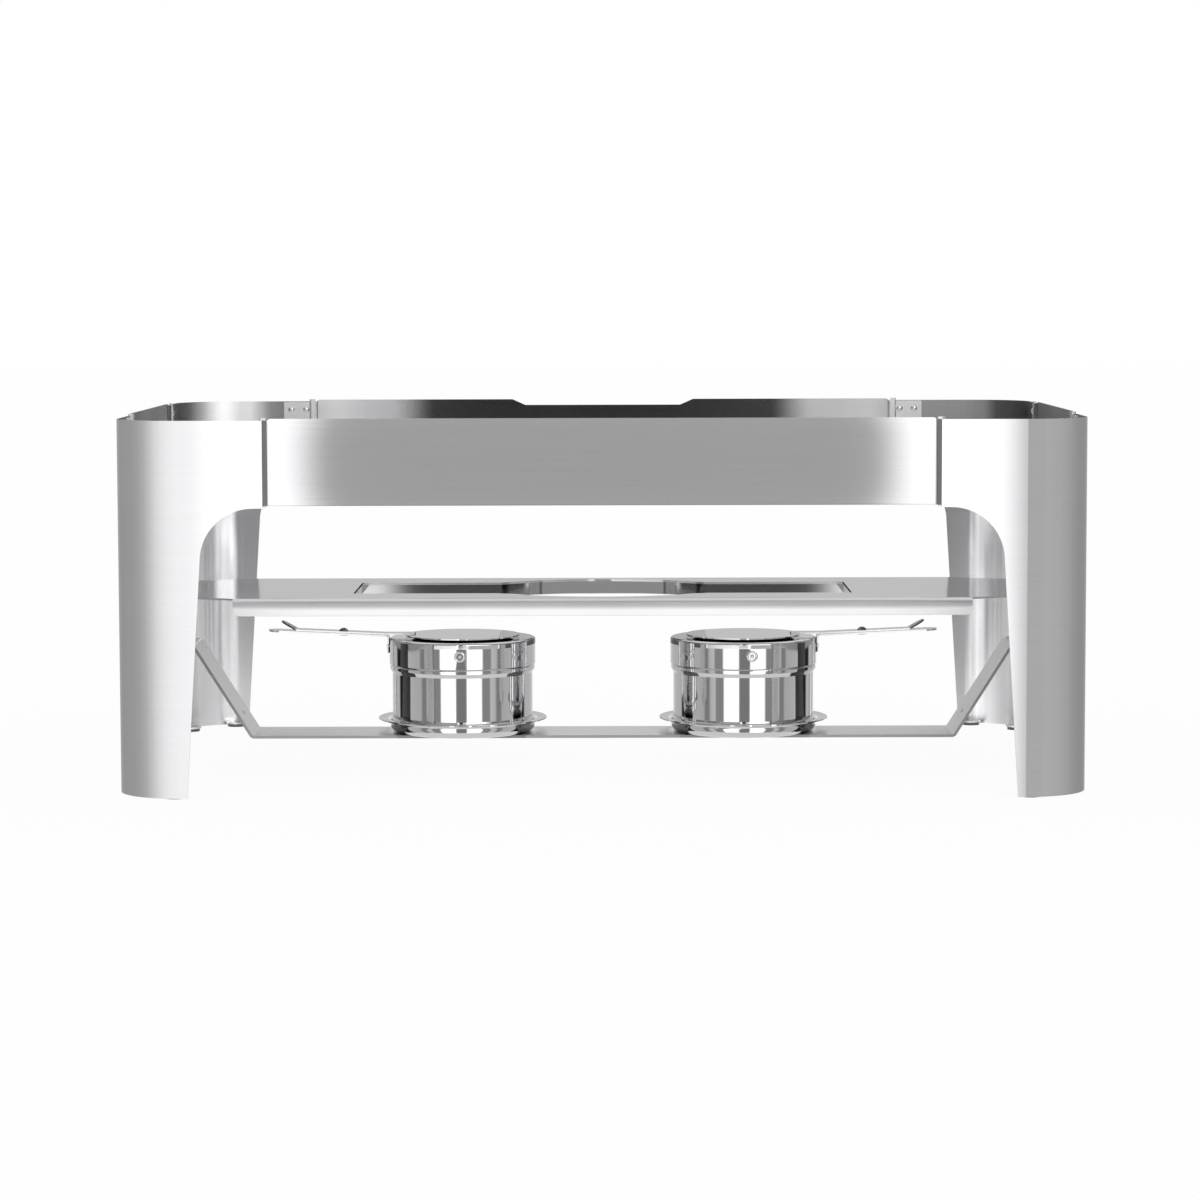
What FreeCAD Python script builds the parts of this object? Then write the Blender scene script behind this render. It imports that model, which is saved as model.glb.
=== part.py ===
"""Chafing dish food warmer: a polished steel stand, a pan shelf and two fuel burners.

Millimetres. X runs along the long side, Y towards the back, Z up. The origin is the
centre of the footprint, on the table.
"""
import FreeCAD, Part
import math
import os

# ---- stand: overall size and sheet ----
WIDTH = 588.0
DEPTH = 383.0
LEG_TOP = 227.4
LEG_BOTTOM = 0.5
SHEET = 1.2
CORNER_RADIUS = 40.0
SLIDE_GAP = 0.3
RUNNING_GAP = 0.06
TIGHT_GAP = 0.02
TOUCH_GAP = 0.05
DRILL_LENGTH = 8.0

# ---- leg outline on each of its two faces, measured from the corner of the stand ----
LEG_FACE_LONG = 91.4
LEG_FACE_END = 89.9
LEG_FOOT_WIDTH = 44.5
LEG_NECK_WIDTH = 53.5
ARCH_RADIUS = 32.0
ARCH_TOP = 175.0

# ---- foot pads under small lugs at the leg's free edges ----
LUG_RADIUS = 7.0
LUG_THICK = 1.2
LUG_OVERLAP = 0.5
LUG_FROM_EDGE = 8.0
PAD_RADIUS = 6.1
PAD_HEIGHT = 2.0

# ---- apron panels ----
APRON_BOTTOM = 176.5
APRON_TOP = 228.5
APRON_CORNER = 3.0
SEAM_GAP = 2.4
TONGUE = 3.2
TONGUE_BEND = 0.1
NOTCH_HALF_TOP = 63.0
NOTCH_HALF_BOTTOM = 54.0
NOTCH_DEPTH = 4.0
NOTCH_ROUND = 2.5

# ---- pocket brackets that hold the apron tongues ----
BRACKET_SHEET = 0.8
BRACKET_BEND = 0.3
BRACKET_PLATE = 18.0
BRACKET_TOP = 227.0
POCKET_TOP = 228.9
WELD_RIVET_RADIUS = 2.3
WELD_RIVET_SHANK = 1.2
WELD_RIVET_DOME = 1.4
RIVET_TAIL_RADIUS = 1.8
RIVET_TAIL = 0.8
RIVET_FROM_POCKET = (2.6, 12.8)
RIVET_FROM_END = 5.2

# ---- end rails between the legs ----
RAIL_HALF = 150.0
RAIL_WEB = 18.0
RAIL_FLANGE = 12.0
RAIL_BEND = 1.0
RAIL_RIVET_Y = 146.2
RAIL_RIVET_DROP = (5.5, 13.5)

# ---- pan shelf ----
SHELF_TOP = 111.8
SHELF_HALF_DEPTH = 85.0
SHELF_SKIRT_HALF = 232.0
SHELF_SKIRT_BOTTOM = 101.0
SHELF_SKIRT_CORNER = 5.0
SHELF_BEND = 2.4
SHELF_END = 288.0
SHELF_TAPER_END = 262.0
SHELF_TAB_HALF = 66.0
OPENING_HALF_LENGTH = 159.0
OPENING_HALF_DEPTH = 43.0
OPENING_BULGE_HALF = 67.0
OPENING_BULGE_REACH = 70.0
OPENING_FLANGE_BOTTOM = 104.6
OPENING_BULGE_BOTTOM = 102.4
OPENING_BULGE_FLAT = 50.0

# ---- burner strap ----
STRAP_TOP = 18.3
STRAP_SHEET = 1.8
STRAP_HALF_WIDTH = 24.7
STRAP_FLAT_HALF = 226.0
STRAP_ARM_HALF = 263.0
STRAP_TAB_TOP = 77.0
STRAP_END = 291.0
STRAP_BEND = 2.0
STRAP_HOLE_RADIUS = 1.4
STRAP_HOLE_RISE = 12.5
STRAP_RIVET_Y = 16.0

# ---- burners and their saucers ----
BURNER_X = 91.3
SAUCER_SHEET = 0.8
SAUCER_RADIUS = 47.0
SAUCER_FLANGE_RADIUS = 54.5
SAUCER_FLANGE_TOP = 27.3
SAUCER_FLANGE_RISE = 0.6
SAUCER_FLOOR_BEND = 5.6
SAUCER_BEND = 3.0
CUP_RADIUS = 45.5
CUP_SHEET = 0.8
CUP_FLOOR = 19.2
CUP_TOP = 78.0
CUP_BEAD_RADIUS = 47.0
CUP_BEAD_BOTTOM = 57.4
CUP_BEAD_LOW = 60.0
CUP_BEAD_HIGH = 61.7
CUP_NECK_BOTTOM = 62.5
CUP_NECK_RADIUS = 46.3
CUP_FLOOR_BEND = 4.2
CUP_WALL_BEND = 0.4
COLLAR_RADIUS = 47.4
COLLAR_SHEET = 0.9
COLLAR_BOTTOM = 63.1
COLLAR_TOP = 80.0
COLLAR_ROUND = 1.6
FLAME_HOLE_RADIUS = 33.0
EYELET_Z = 71.4
EYELET_RADIUS = 3.65
EYELET_SHANK = 1.6
EYELET_FLANGE = 0.5
EYELET_ROLL = 0.8
EYELET_CENTRE_RADIUS = 1.3
EYELET_CENTRE_DOME = 0.9
EYELET_TAIL_RADIUS = 2.6
EYELET_TURN_RIGHT = 4.8
WALL_TAIL = 44.2

# ---- burner handle and swing lid, as distances from the burner's axis ----
HANDLE_SHEET = 1.2
HANDLE_HALF_WIDTH = 7.0
HANDLE_TAB_BOTTOM = 70.0
HANDLE_START = 50.0
HANDLE_START_TOP = 81.7
HANDLE_SLOPE = 2.6
HANDLE_END = 125.7
HANDLE_BEND = 1.5
HANDLE_RIVET_Y = 3.8
HANDLE_RIVET_Z = 74.3
HANDLE_RIVET_DOME = 0.5
LID_RADIUS = 37.25
LID_SHEET = 0.8
LID_TOP = 81.8
LEVER_SHEET = 1.0
LEVER_BEND = 1.0
LEVER_GAP = 0.1
LEVER_HALF_WIDTH = 6.0
LEVER_START = 30.7
LEVER_BEND_AT = 107.5
LEVER_TIP = 117.5
LEVER_TIP_RISE = 5.6
PIVOT_AT = 77.2
PIVOT_SHANK = 2.0
PIVOT_HEAD_RADIUS = 3.1
PIVOT_DOME = 1.9
PIVOT_TAIL_RADIUS = 2.8
PIVOT_TAIL = 0.7

# ---- worked-out values ----
HALF_WIDTH = WIDTH / 2
HALF_DEPTH = DEPTH / 2
SEAM_LONG = HALF_WIDTH - LEG_FACE_LONG
SEAM_END = HALF_DEPTH - LEG_FACE_END
TONGUE_OUTER = SHEET + SLIDE_GAP
TONGUE_INNER = TONGUE_OUTER + SHEET
POCKET_INNER = TONGUE_INNER + SLIDE_GAP
PANEL_ANGLE = {"front": 0, "right": 90, "rear": 180, "left": 270}
SHELF_BOTTOM = SHELF_TOP - SHEET
STRAP_TAB_BOTTOM = STRAP_TAB_TOP - STRAP_SHEET
WALL_FACE = COLLAR_RADIUS + TOUCH_GAP
OUT = "parts"


def vec(x, y, z=0.0):
    return FreeCAD.Vector(x, y, z)


# ---------------------------------------------------------------- shape helpers
def bent_edges(points, radii):
    """Edges of an open path of (u, v) points whose inner corners are rounded by radii."""
    corners = [vec(*p) for p in points]
    edges = []
    start = corners[0]
    for before, corner, after, radius in zip(corners, corners[1:], corners[2:], radii):
        back = (before - corner).normalize()
        ahead = (after - corner).normalize()
        half = back.getAngle(ahead) / 2
        middle = (back + ahead).normalize()
        reach = radius / math.tan(half)
        arc_start = corner + back * reach
        arc_end = corner + ahead * reach
        arc_mid = corner + middle * (radius / math.sin(half) - radius)
        edges.append(Part.makeLine(start, arc_start))
        edges.append(Part.Arc(arc_start, arc_mid, arc_end).toShape())
        start = arc_end
    edges.append(Part.makeLine(start, corners[-1]))
    return edges


def offset_path(points, distance):
    """The same path moved distance to the right of its walking direction."""
    moved = []
    last = len(points) - 1
    for i, point in enumerate(points):
        ahead = unit(points[max(i - 1, 0)], points[max(i, 1)])
        beyond = unit(points[min(i, last - 1)], points[min(i + 1, last)])
        right = (ahead[1] + beyond[1], -ahead[0] - beyond[0])
        scale = 2 * distance / (right[0] ** 2 + right[1] ** 2)
        moved.append((point[0] + right[0] * scale, point[1] + right[1] * scale))
    return moved


def unit(a, b):
    length = math.hypot(b[0] - a[0], b[1] - a[1])
    return ((b[0] - a[0]) / length, (b[1] - a[1]) / length)


def turns_left(a, b, c):
    return (b[0] - a[0]) * (c[1] - b[1]) - (b[1] - a[1]) * (c[0] - b[0]) > 0


def sheet_face(path, thickness, bends):
    """Cross-section of a bent sheet whose one surface is path.

    The metal lies to the right of the path, or to its left if thickness is negative.
    bends holds the inner radius of each corner, or one radius for them all.
    """
    if not isinstance(bends, list):
        bends = [bends] * (len(path) - 2)
    far = offset_path(path, thickness)
    near_radii = []
    far_radii = []
    for corner, bend in zip(zip(path, path[1:], path[2:]), bends):
        near_inside = turns_left(*corner) == (thickness > 0)
        near_radii.append(bend if near_inside else bend + abs(thickness))
        far_radii.append(bend + abs(thickness) if near_inside else bend)
    edges = bent_edges(path, near_radii) + bent_edges(far, far_radii)
    edges.append(Part.makeLine(vec(*path[0]), vec(*far[0])))
    edges.append(Part.makeLine(vec(*path[-1]), vec(*far[-1])))
    return Part.Face(Part.Wire(Part.__sortEdges__(edges)))


def polygon_face(points):
    ring = [vec(*p) for p in points]
    return Part.Face(Part.makePolygon(ring + ring[:1]))


def upright(face, low, high):
    """A face drawn in the XY plane, raised from low to high."""
    return face.translated(vec(0, 0, low)).extrude(vec(0, 0, high - low))


def across(face, low, high):
    """A face drawn as (x, z), stretched along Y from low to high."""
    turned = face.rotated(vec(0, 0), vec(1, 0), 90)
    return turned.translated(vec(0, low)).extrude(vec(0, high - low))


def along(face, low, high):
    """A face drawn as (y, z), stretched along X from low to high."""
    turned = face.rotated(vec(0, 0), vec(1, 0), 90).rotated(vec(0, 0), vec(0, 0, 1), 90)
    return turned.translated(vec(low, 0)).extrude(vec(high - low, 0))


def box(x0, x1, y0, y1, z0, z1):
    return Part.makeBox(x1 - x0, y1 - y0, z1 - z0, vec(x0, y0, z0))


def spun(path, thickness, bends):
    """A sheet profile of (radius, z) points spun about the Z axis."""
    turned = sheet_face(path, thickness, bends).rotated(vec(0, 0), vec(1, 0), 90)
    return turned.revolve(vec(0, 0), vec(0, 0, 1), 360)


def dome(radius, height):
    """A rivet head: a spherical cap on the plane z = 0."""
    ball = (radius ** 2 + height ** 2) / (2 * height)
    cap = Part.makeSphere(ball, vec(0, 0, height - ball))
    return cap.common(Part.makeCylinder(radius, height))


def at_panel(shape, panel):
    """Moves a shape from the front panel's frame (outer face on y = 0) to another side."""
    half = HALF_DEPTH if panel in ("front", "rear") else HALF_WIDTH
    moved = shape.translated(vec(0, -half))
    return moved.rotated(vec(0, 0), vec(0, 0, 1), PANEL_ANGLE[panel])


def mirrored_x(shape):
    return shape.mirror(vec(0, 0), vec(1, 0))


def mirrored_y(shape):
    return shape.mirror(vec(0, 0), vec(0, 1))


def clean(shape):
    return shape.removeSplitter()


def export(name, *solids):
    shape = solids[0] if len(solids) == 1 else Part.makeCompound(list(solids))
    shape.exportStep(os.path.join(OUT, name + ".step"))


def seam_of(panel):
    return SEAM_LONG if panel in ("front", "rear") else SEAM_END


def panel_ends(panel):
    """Names of the panel's two ends, keyed by which way they lie in the panel's frame."""
    ends = {
        "front": ("left", "right"),
        "right": ("front", "rear"),
        "rear": ("right", "left"),
        "left": ("rear", "front"),
    }
    return {-1: ends[panel][0], 1: ends[panel][1]}


# ---------------------------------------------------------------- legs
def leg_window(face_width):
    """The part of a leg face that is cut away: the arch, the taper and all beside them."""
    centre = LEG_NECK_WIDTH + ARCH_RADIUS
    spring = ARCH_TOP - ARCH_RADIUS
    diagonal = ARCH_RADIUS * math.sqrt(0.5)
    start = vec(LEG_NECK_WIDTH, spring)
    middle = vec(centre - diagonal, spring + diagonal)
    top = vec(centre, ARCH_TOP)
    foot = vec(LEG_FOOT_WIDTH, 0)
    below = vec(LEG_FOOT_WIDTH, -SHEET)
    beyond = face_width + SHEET
    edges = [
        Part.makeLine(below, foot),
        Part.makeLine(foot, start),
        Part.Arc(start, middle, top).toShape(),
        Part.makeLine(top, vec(beyond, ARCH_TOP)),
        Part.makeLine(vec(beyond, ARCH_TOP), vec(beyond, -SHEET)),
        Part.makeLine(vec(beyond, -SHEET), below),
    ]
    return Part.Face(Part.Wire(edges))


def foot_disc(radius, low, high):
    """A round foot inside the front face of the front left leg, near its free edge."""
    x = -HALF_WIDTH + LEG_FOOT_WIDTH - LUG_FROM_EDGE
    wall = -HALF_DEPTH + SHEET
    centre = vec(x, wall + LUG_RADIUS - LUG_OVERLAP, low)
    disc = Part.makeCylinder(radius, high - low, centre)
    return disc.cut(box(x - radius, x + radius, wall - LUG_RADIUS, wall, low, high))


def both_faces(shape):
    """A shape on the front face of the front left leg, and its twin on the end face."""
    corner = vec(-HALF_WIDTH, -HALF_DEPTH)
    twin = shape.translated(corner * -1)
    twin = twin.mirror(vec(0, 0), vec(1, -1))
    return [shape, twin.translated(corner)]


def make_leg():
    """The front left leg: one sheet bent round the corner, with two foot lugs."""
    end_of_long = (-HALF_WIDTH + LEG_FACE_LONG, -HALF_DEPTH)
    end_of_end = (-HALF_WIDTH, -HALF_DEPTH + LEG_FACE_END)
    path = [end_of_end, (-HALF_WIDTH, -HALF_DEPTH), end_of_long]
    wall = sheet_face(path, -SHEET, CORNER_RADIUS - SHEET)
    leg = upright(wall, LEG_BOTTOM, LEG_TOP)
    window = across(leg_window(LEG_FACE_LONG), -SHEET, 3 * SHEET)
    window = window.translated(vec(-HALF_WIDTH, -HALF_DEPTH))
    for cut in both_faces(window):
        leg = leg.cut(cut)
    lug = foot_disc(LUG_RADIUS, PAD_HEIGHT, PAD_HEIGHT + LUG_THICK)
    for piece in both_faces(lug):
        leg = leg.fuse(piece)
    return clean(leg)


def make_foot_pads():
    return both_faces(foot_disc(PAD_RADIUS, 0, PAD_HEIGHT))


# ---------------------------------------------------------------- aprons and brackets
def apron_section(seam):
    """Plan of an apron in its panel frame: outer skin with a joggled tongue at each end."""
    skin = seam - SEAM_GAP
    half = [
        (skin + TONGUE, TONGUE_INNER),
        (skin - SHEET, TONGUE_INNER),
        (skin - SHEET, SHEET),
    ]
    path = half + [(-x, y) for x, y in reversed(half)]
    return sheet_face(path, -SHEET, TONGUE_BEND)


def notch_face():
    """The lid notch in the top edge, drawn as (x, z) with rounded ends."""
    floor = APRON_TOP - NOTCH_DEPTH
    above = APRON_TOP + NOTCH_DEPTH
    path = [
        (-NOTCH_HALF_TOP - NOTCH_DEPTH, APRON_TOP),
        (-NOTCH_HALF_TOP, APRON_TOP),
        (-NOTCH_HALF_BOTTOM, floor),
        (NOTCH_HALF_BOTTOM, floor),
        (NOTCH_HALF_TOP, APRON_TOP),
        (NOTCH_HALF_TOP + NOTCH_DEPTH, APRON_TOP),
    ]
    edges = bent_edges(path, [NOTCH_ROUND] * 4)
    lid = [path[-1], (path[-1][0], above), (path[0][0], above), path[0]]
    edges += bent_edges(lid, [NOTCH_ROUND] * 2)
    return Part.Face(Part.Wire(edges))


def corner_trim(skin):
    """Cuts that round the skin's top corners and stop the tongue level with the rim."""
    tongue = box(skin, skin + 2 * TONGUE, -SHEET, 3 * SHEET, LEG_TOP, APRON_TOP)
    centre = vec(skin - APRON_CORNER, -SHEET, APRON_TOP - APRON_CORNER)
    square = box(centre.x, skin, -SHEET, 3 * SHEET, centre.z, APRON_TOP)
    disc = Part.makeCylinder(APRON_CORNER, 4 * SHEET, centre, vec(0, 1, 0))
    trim = square.cut(disc).fuse(tongue)
    return [trim, mirrored_x(trim)]


def make_apron(panel):
    seam = seam_of(panel)
    apron = upright(apron_section(seam), APRON_BOTTOM, APRON_TOP)
    for trim in corner_trim(seam - SEAM_GAP):
        apron = apron.cut(trim)
    if panel == "rear":
        apron = apron.cut(across(notch_face(), -SHEET, 2 * SHEET))
    return at_panel(clean(apron), panel)


def pocket_web(seam):
    """Panel-frame X of the bracket web's apron side, just past the tongue's tip."""
    return seam - SEAM_GAP + TONGUE + SLIDE_GAP


def make_bracket(seam):
    """Bracket at the panel frame's +X end: plate on the leg, step inward, lip over the tongue."""
    web = pocket_web(seam) + BRACKET_SHEET
    path = [
        (web + BRACKET_PLATE, SHEET),
        (web - BRACKET_SHEET, SHEET),
        (web - BRACKET_SHEET, POCKET_INNER),
        (seam - SEAM_GAP + SLIDE_GAP, POCKET_INNER),
    ]
    section = sheet_face(path, BRACKET_SHEET, BRACKET_BEND)
    bracket = upright(section, APRON_BOTTOM, POCKET_TOP)
    far = web + BRACKET_PLATE + SHEET
    bracket = bracket.cut(box(web, far, 0, POCKET_INNER, BRACKET_TOP, POCKET_TOP))
    lip_end = seam - SEAM_GAP + SLIDE_GAP
    stop_top = APRON_BOTTOM - SLIDE_GAP
    stop_low = stop_top - BRACKET_SHEET
    stop = box(lip_end, web, TONGUE_OUTER, POCKET_INNER + BRACKET_SHEET, stop_low, stop_top)
    post = box(lip_end, web, POCKET_INNER, POCKET_INNER + BRACKET_SHEET, stop_top, APRON_BOTTOM)
    bracket = bracket.fuse(stop).fuse(post)
    for x, z in bracket_rivet_places(seam):
        bracket = bracket.cut(rivet_hole(vec(x, 0, z), vec(0, 1, 0)))
    return clean(bracket)


def bracket_rivet_places(seam):
    plate = pocket_web(seam) + BRACKET_SHEET
    heights = (BRACKET_TOP - RIVET_FROM_END, APRON_BOTTOM + RIVET_FROM_END)
    return [(plate + x, z) for x in RIVET_FROM_POCKET for z in heights]


def rivet_hole(start, direction):
    return Part.makeCylinder(WELD_RIVET_SHANK + RUNNING_GAP, DRILL_LENGTH, start, direction)


def weld_rivet(x, z, plate):
    """A stud welded to the sheet's inner face, domed over a plate of that thickness."""
    shank = Part.makeCylinder(WELD_RIVET_SHANK, plate + WELD_RIVET_DOME / 2)
    head = dome(WELD_RIVET_RADIUS, WELD_RIVET_DOME).translated(vec(0, 0, plate))
    stud = shank.fuse(head).rotated(vec(0, 0), vec(1, 0), -90)
    return stud.translated(vec(x, SHEET, z))


def make_bracket_rivets(seam):
    return [weld_rivet(x, z, BRACKET_SHEET) for x, z in bracket_rivet_places(seam)]


# ---------------------------------------------------------------- end rails
def make_rail(flange_top):
    """An angle along the right-hand end: upright web on the legs, flange turned inward."""
    web_face = HALF_WIDTH - SHEET
    path = [
        (web_face, flange_top - RAIL_WEB),
        (web_face, flange_top),
        (web_face - RAIL_FLANGE, flange_top),
    ]
    rail = across(sheet_face(path, -SHEET, RAIL_BEND), -RAIL_HALF, RAIL_HALF)
    for y, z in rail_rivet_places(flange_top):
        rail = rail.cut(rivet_hole(vec(web_face - 2 * SHEET, y, z), vec(1, 0, 0)))
    return rail


def rail_rivet_places(flange_top):
    return [(y, flange_top - drop) for y in (-RAIL_RIVET_Y, RAIL_RIVET_Y) for drop in RAIL_RIVET_DROP]


def make_rail_rivets():
    rivets = []
    for flange_top in (SHELF_BOTTOM, STRAP_TAB_BOTTOM):
        for y, z in rail_rivet_places(flange_top):
            rivets.append(at_panel(weld_rivet(y, z, SHEET), "right"))
    return rivets


# ---------------------------------------------------------------- shelf
def opening_face(inset):
    """Outline of the flame opening, shrunk by inset: a long slot with a bulge front and rear."""
    x = OPENING_HALF_LENGTH - inset
    y = OPENING_HALF_DEPTH - inset
    bulge = OPENING_BULGE_HALF - inset
    reach = OPENING_BULGE_REACH - inset
    edges = []
    for turn in (1, -1):
        low = -y * turn
        edges.append(Part.makeLine(vec(-x * turn, low), vec(-bulge * turn, low)))
        arc = Part.Arc(vec(-bulge * turn, low), vec(0, -reach * turn), vec(bulge * turn, low))
        edges.append(arc.toShape())
        edges.append(Part.makeLine(vec(bulge * turn, low), vec(x * turn, low)))
        edges.append(Part.makeLine(vec(x * turn, low), vec(x * turn, -low)))
    return Part.Face(Part.Wire(edges))


def shelf_end_face():
    """The flat end beyond the skirts: tapered, then a straight tab over the end rail."""
    root = SHELF_HALF_DEPTH - SHELF_BEND - SHEET
    inner = SHELF_SKIRT_HALF - SHEET
    front = [(inner, -root), (SHELF_SKIRT_HALF, -root), (SHELF_TAPER_END, -SHELF_TAB_HALF)]
    tip = [(SHELF_END, -SHELF_TAB_HALF), (SHELF_END, SHELF_TAB_HALF)]
    rear = [(x, -y) for x, y in reversed(front)]
    return polygon_face(front + tip + rear)


def skirt_corners():
    """Cuts that round the lower corners of both skirts."""
    x = SHELF_SKIRT_HALF - SHELF_SKIRT_CORNER
    z = SHELF_SKIRT_BOTTOM + SHELF_SKIRT_CORNER
    square = box(x, SHELF_SKIRT_HALF, -DEPTH / 2, DEPTH / 2, SHELF_SKIRT_BOTTOM, z)
    rod = Part.makeCylinder(SHELF_SKIRT_CORNER, DEPTH, vec(x, -DEPTH / 2, z), vec(0, 1, 0))
    cut = square.cut(rod)
    return [cut, mirrored_x(cut)]


def make_shelf():
    skirt = [(-SHELF_HALF_DEPTH, SHELF_SKIRT_BOTTOM), (-SHELF_HALF_DEPTH, SHELF_TOP)]
    path = skirt + [(-y, z) for y, z in reversed(skirt)]
    shelf = along(sheet_face(path, SHEET, SHELF_BEND), -SHELF_SKIRT_HALF, SHELF_SKIRT_HALF)
    for cut in skirt_corners():
        shelf = shelf.cut(cut)
    end = upright(shelf_end_face(), SHELF_BOTTOM, SHELF_TOP)
    shelf = shelf.fuse(end).fuse(mirrored_x(end))
    shelf = shelf.cut(upright(opening_face(0), SHELF_BOTTOM - SHEET, SHELF_TOP + SHEET))
    return clean(shelf.fuse(make_opening_flange()))


def make_opening_flange():
    """The lip turned down round the opening, a little deeper at the two bulges."""
    flange = upright(opening_face(-SHEET), OPENING_BULGE_BOTTOM, SHELF_BOTTOM)
    flange = flange.cut(upright(opening_face(0), OPENING_BULGE_BOTTOM, SHELF_BOTTOM))
    far = OPENING_HALF_LENGTH + 2 * SHEET
    below = [
        (OPENING_BULGE_FLAT, OPENING_BULGE_BOTTOM),
        (OPENING_BULGE_HALF, OPENING_FLANGE_BOTTOM),
        (far, OPENING_FLANGE_BOTTOM),
        (far, OPENING_BULGE_BOTTOM),
    ]
    relief = across(polygon_face(below), -SHELF_HALF_DEPTH, SHELF_HALF_DEPTH)
    return flange.cut(relief).cut(mirrored_x(relief))


# ---------------------------------------------------------------- burner strap
def make_strap():
    """A flat bar bent up at both ends, whose tabs sit on the lower end rails."""
    half = [
        (STRAP_FLAT_HALF, STRAP_TOP),
        (STRAP_ARM_HALF, STRAP_TAB_TOP),
        (STRAP_END, STRAP_TAB_TOP),
    ]
    path = [(-x, z) for x, z in reversed(half)] + half
    strap = across(sheet_face(path, STRAP_SHEET, STRAP_BEND), -STRAP_HALF_WIDTH, STRAP_HALF_WIDTH)
    for hole in strap_holes():
        strap = strap.cut(hole).cut(mirrored_x(hole))
    return strap


def strap_holes():
    """A small hole low on the right arm, and the rivet holes in the right tab."""
    run = STRAP_ARM_HALF - STRAP_FLAT_HALF
    rise = STRAP_TAB_TOP - STRAP_TOP
    share = STRAP_HOLE_RISE / rise
    centre = vec(STRAP_FLAT_HALF + run * share, 0, STRAP_TOP + STRAP_HOLE_RISE)
    normal = vec(-rise, 0, run).normalize()
    start = centre - normal * (DRILL_LENGTH / 2)
    holes = [Part.makeCylinder(STRAP_HOLE_RADIUS, DRILL_LENGTH, start, normal)]
    for y in (-STRAP_RIVET_Y, STRAP_RIVET_Y):
        spot = vec(strap_rivet_x(), y, STRAP_TAB_BOTTOM - 2 * SHEET)
        holes.append(rivet_hole(spot, vec(0, 0, 1)))
    return holes


def strap_rivet_x():
    return HALF_WIDTH - SHEET - RAIL_FLANGE / 2


def make_strap_rivets():
    """Rivets that hold the strap's tabs down on the lower rails."""
    rivets = []
    for y in (-STRAP_RIVET_Y, STRAP_RIVET_Y):
        grip = STRAP_SHEET + SHEET
        rivet = Part.makeCylinder(WELD_RIVET_SHANK, grip, vec(0, 0, -grip))
        rivet = rivet.fuse(dome(WELD_RIVET_RADIUS, WELD_RIVET_DOME))
        tail = Part.makeCylinder(RIVET_TAIL_RADIUS, RIVET_TAIL, vec(0, 0, -grip - RIVET_TAIL))
        rivet = rivet.fuse(tail).translated(vec(strap_rivet_x(), y, STRAP_TAB_TOP))
        rivets += [rivet, mirrored_x(rivet)]
    return rivets


# ---------------------------------------------------------------- burners
def make_saucer():
    """A shallow dish with a flared rim, spun on the burner's axis."""
    path = [
        (0, STRAP_TOP + SAUCER_SHEET),
        (SAUCER_RADIUS - SAUCER_SHEET, STRAP_TOP + SAUCER_SHEET),
        (SAUCER_RADIUS - SAUCER_SHEET, SAUCER_FLANGE_TOP),
        (SAUCER_FLANGE_RADIUS, SAUCER_FLANGE_TOP + SAUCER_FLANGE_RISE),
    ]
    bends = [SAUCER_FLOOR_BEND - SAUCER_SHEET, SAUCER_BEND - SAUCER_SHEET]
    return spun(path, SAUCER_SHEET, bends)


def make_cup():
    """The fuel cup: straight wall, a bead under the collar and a neck inside it."""
    floor_radius = CUP_RADIUS - CUP_SHEET
    bead = CUP_BEAD_RADIUS - CUP_SHEET
    neck = CUP_NECK_RADIUS - CUP_SHEET
    path = [
        (0, CUP_FLOOR + CUP_SHEET),
        (floor_radius, CUP_FLOOR + CUP_SHEET),
        (floor_radius, CUP_BEAD_BOTTOM),
        (bead, CUP_BEAD_LOW),
        (bead, CUP_BEAD_HIGH),
        (neck, CUP_NECK_BOTTOM),
        (neck, CUP_TOP),
    ]
    return spun(path, CUP_SHEET, [CUP_FLOOR_BEND] + [CUP_WALL_BEND] * 4)


def make_collar():
    """The cap over the cup: a sleeve and a flat ring round the flame hole."""
    path = [
        (COLLAR_RADIUS - COLLAR_SHEET, COLLAR_BOTTOM),
        (COLLAR_RADIUS - COLLAR_SHEET, COLLAR_TOP - COLLAR_SHEET),
        (FLAME_HOLE_RADIUS, COLLAR_TOP - COLLAR_SHEET),
    ]
    return spun(path, COLLAR_SHEET, COLLAR_ROUND - COLLAR_SHEET)


def handle_height(distance):
    """Height of the handle's top face at a distance from the burner's axis."""
    return HANDLE_START_TOP + (distance - HANDLE_START) * math.tan(math.radians(HANDLE_SLOPE))


def strip_outline(low, high, half_width):
    """Plan of a strip along +X with a half-round outer end."""
    centre = high - half_width
    edges = [
        Part.makeLine(vec(low, -half_width), vec(centre, -half_width)),
        Part.Arc(vec(centre, -half_width), vec(high, 0), vec(centre, half_width)).toShape(),
        Part.makeLine(vec(centre, half_width), vec(low, half_width)),
        Part.makeLine(vec(low, half_width), vec(low, -half_width)),
    ]
    return Part.Face(Part.Wire(edges))


def pivot_frame(shape):
    """Moves a shape drawn round the Z axis onto the lid pivot, on the handle's top face."""
    tilted = shape.rotated(vec(0, 0), vec(0, 1), -HANDLE_SLOPE)
    return tilted.translated(vec(PIVOT_AT, 0, handle_height(PIVOT_AT)))


def pivot_hole(gap):
    start = vec(0, 0, -DRILL_LENGTH / 2)
    return pivot_frame(Part.makeCylinder(PIVOT_SHANK + gap, DRILL_LENGTH, start))


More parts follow.
